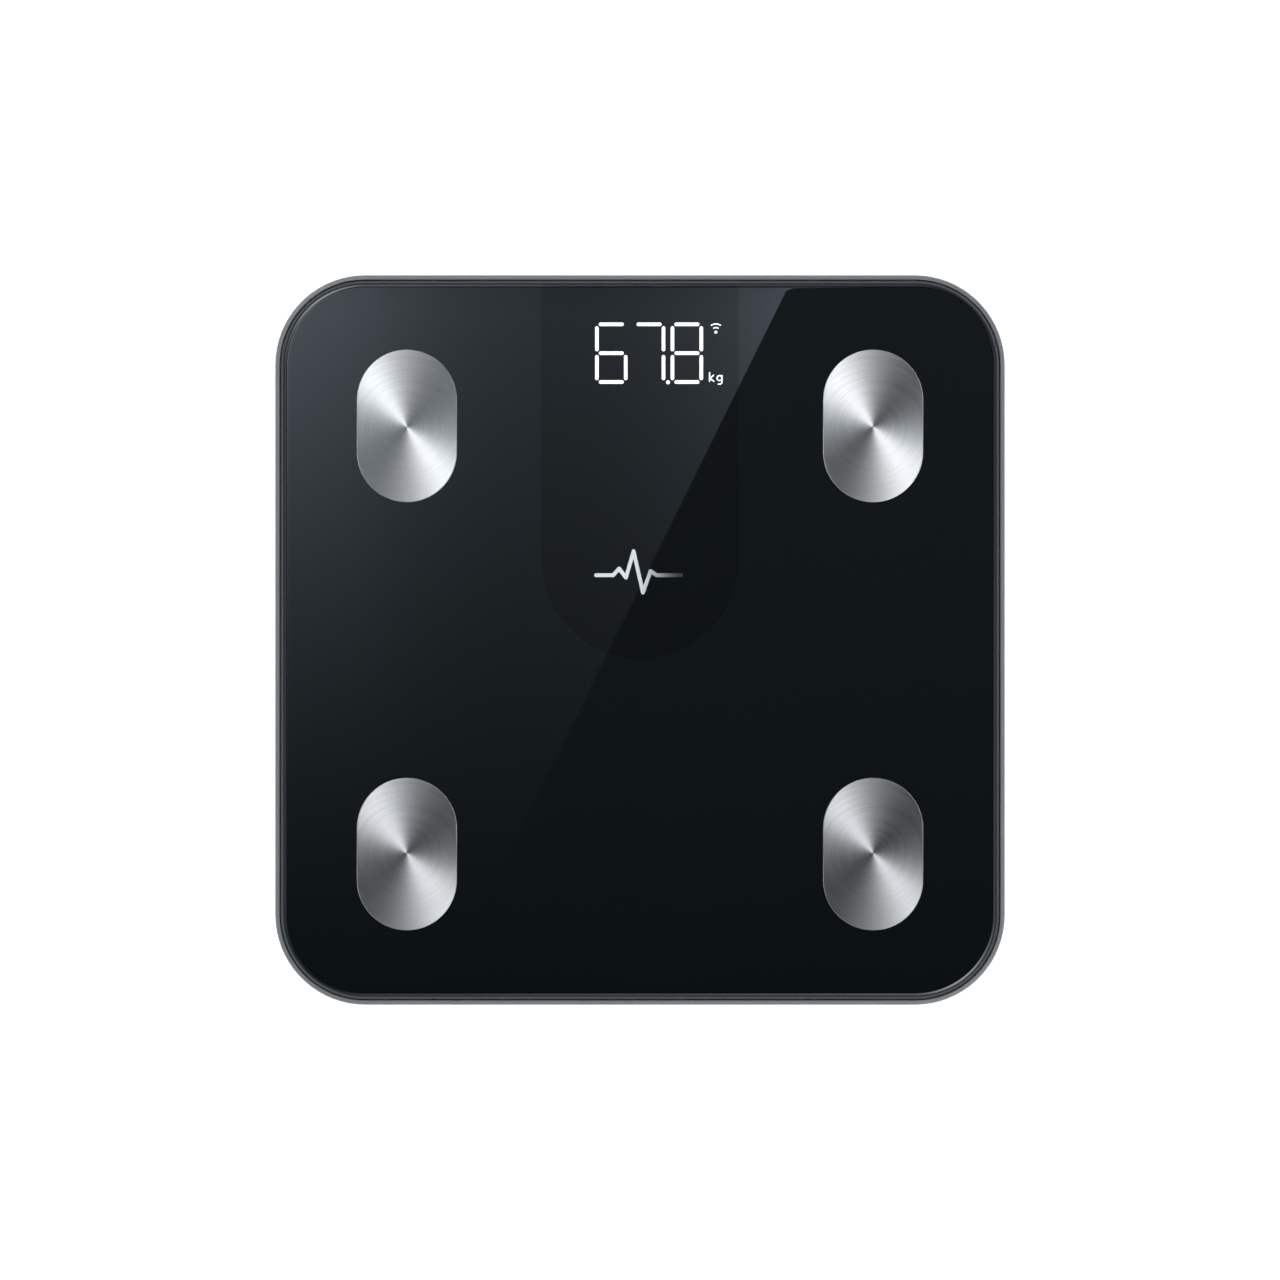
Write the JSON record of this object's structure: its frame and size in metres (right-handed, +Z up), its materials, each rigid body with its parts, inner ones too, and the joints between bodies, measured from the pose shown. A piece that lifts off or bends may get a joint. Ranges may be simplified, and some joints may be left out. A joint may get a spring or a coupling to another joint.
{
  "type": "digital bathroom scale",
  "caption": "Square glass-topped digital body scale with steel electrode pads, a lit number display, load-cell feet and a battery door underneath.",
  "frame": {"origin": "on the floor, under the centre of the platform", "axes": "+X to the user's right, +Y to the rear edge where the display is, +Z up"},
  "size_m": [0.28, 0.28, 0.0259],
  "materials": {
    "printed_glass": "polished, black print on the back",
    "frame_plastic": "satin dark grey",
    "tray_plastic": "fine spark texture, black",
    "foam": "closed-cell foam",
    "electrode_steel": "spun and brushed",
    "stamped_steel": "stamped, bare",
    "zinc_steel": "bright zinc plated",
    "foot_rubber": "matt",
    "cup_plastic": "moulded",
    "gauge_resin": "coated",
    "battery_wrap": "printed wrap with a steel end",
    "board": "solder mask",
    "chip_plastic": "moulded",
    "module_can": "tinned can",
    "connector_plastic": "natural nylon",
    "switch_plastic": "moulded",
    "display_black": "matt",
    "light_guide": "lit white",
    "light_guide_off": "frosted, unlit",
    "lead_insulation": "flexible vinyl",
    "electrode_lead_insulation": "flexible vinyl",
    "button_plastic": "satin grey"
  },
  "bodies": {
    "scale": {"base_tray": "tray_plastic", "battery_1": "battery_wrap", "battery_2": "battery_wrap", "battery_3": "battery_wrap", "board_chips": "chip_plastic", "board_screws": "zinc_steel", "contact_plates": "zinc_steel", "contact_springs": "zinc_steel", "display_bars_lit": "light_guide", "display_bars_unlit": "light_guide_off", "display_gasket": "foam", "display_housing": "display_black", "display_icons": "light_guide", "electrode_front_left": "electrode_steel", "electrode_front_right": "electrode_steel", "electrode_gasket_front_left": "foam", "electrode_gasket_front_right": "foam", "electrode_gasket_rear_left": "foam", "electrode_gasket_rear_right": "foam", "electrode_leads": "electrode_lead_insulation", "electrode_nuts": "zinc_steel", "electrode_rear_left": "electrode_steel", "electrode_rear_right": "electrode_steel", "electrode_terminals": "zinc_steel", "foot_cup_front_left": "cup_plastic", "foot_cup_front_right": "cup_plastic", "foot_cup_rear_left": "cup_plastic", "foot_cup_rear_right": "cup_plastic", "foot_pad_front_left": "foot_rubber", "foot_pad_front_right": "foot_rubber", "foot_pad_rear_left": "foot_rubber", "foot_pad_rear_right": "foot_rubber", "foot_retainer_front_left": "tray_plastic", "foot_retainer_front_right": "tray_plastic", "foot_retainer_rear_left": "tray_plastic", "foot_retainer_rear_right": "tray_plastic", "glass_platform": "printed_glass", "glass_tape": "foam", "lead_connectors": "connector_plastic", "load_cell_front_left": "stamped_steel", "load_cell_front_right": "stamped_steel", "load_cell_leads": "lead_insulation", "load_cell_rear_left": "stamped_steel", "load_cell_rear_right": "stamped_steel", "main_board": "board", "rim_frame": "frame_plastic", "strain_gauge_front_left": "gauge_resin", "strain_gauge_front_right": "gauge_resin", "strain_gauge_rear_left": "gauge_resin", "strain_gauge_rear_right": "gauge_resin", "support_pads": "foam", "tact_switch": "switch_plastic", "wireless_module": "module_can"},
    "door": {"battery_door": "tray_plastic"},
    "button": {"unit_button": "button_plastic", "switch_plunger": "switch_plastic"}
  },
  "joints": [
    {"name": "battery_door_hinge", "type": "hinge", "parent": "scale", "child": "door", "pos_m": [0, 0.01915, 0.0048], "axis": [-1, 0, 0], "range_deg": [0, 70]},
    {"name": "unit_button_press", "type": "slide", "parent": "scale", "child": "button", "axis": [0, 0, 1], "range_m": [0, 0.0005], "stiffness_N_per_m": 2500}
  ]
}
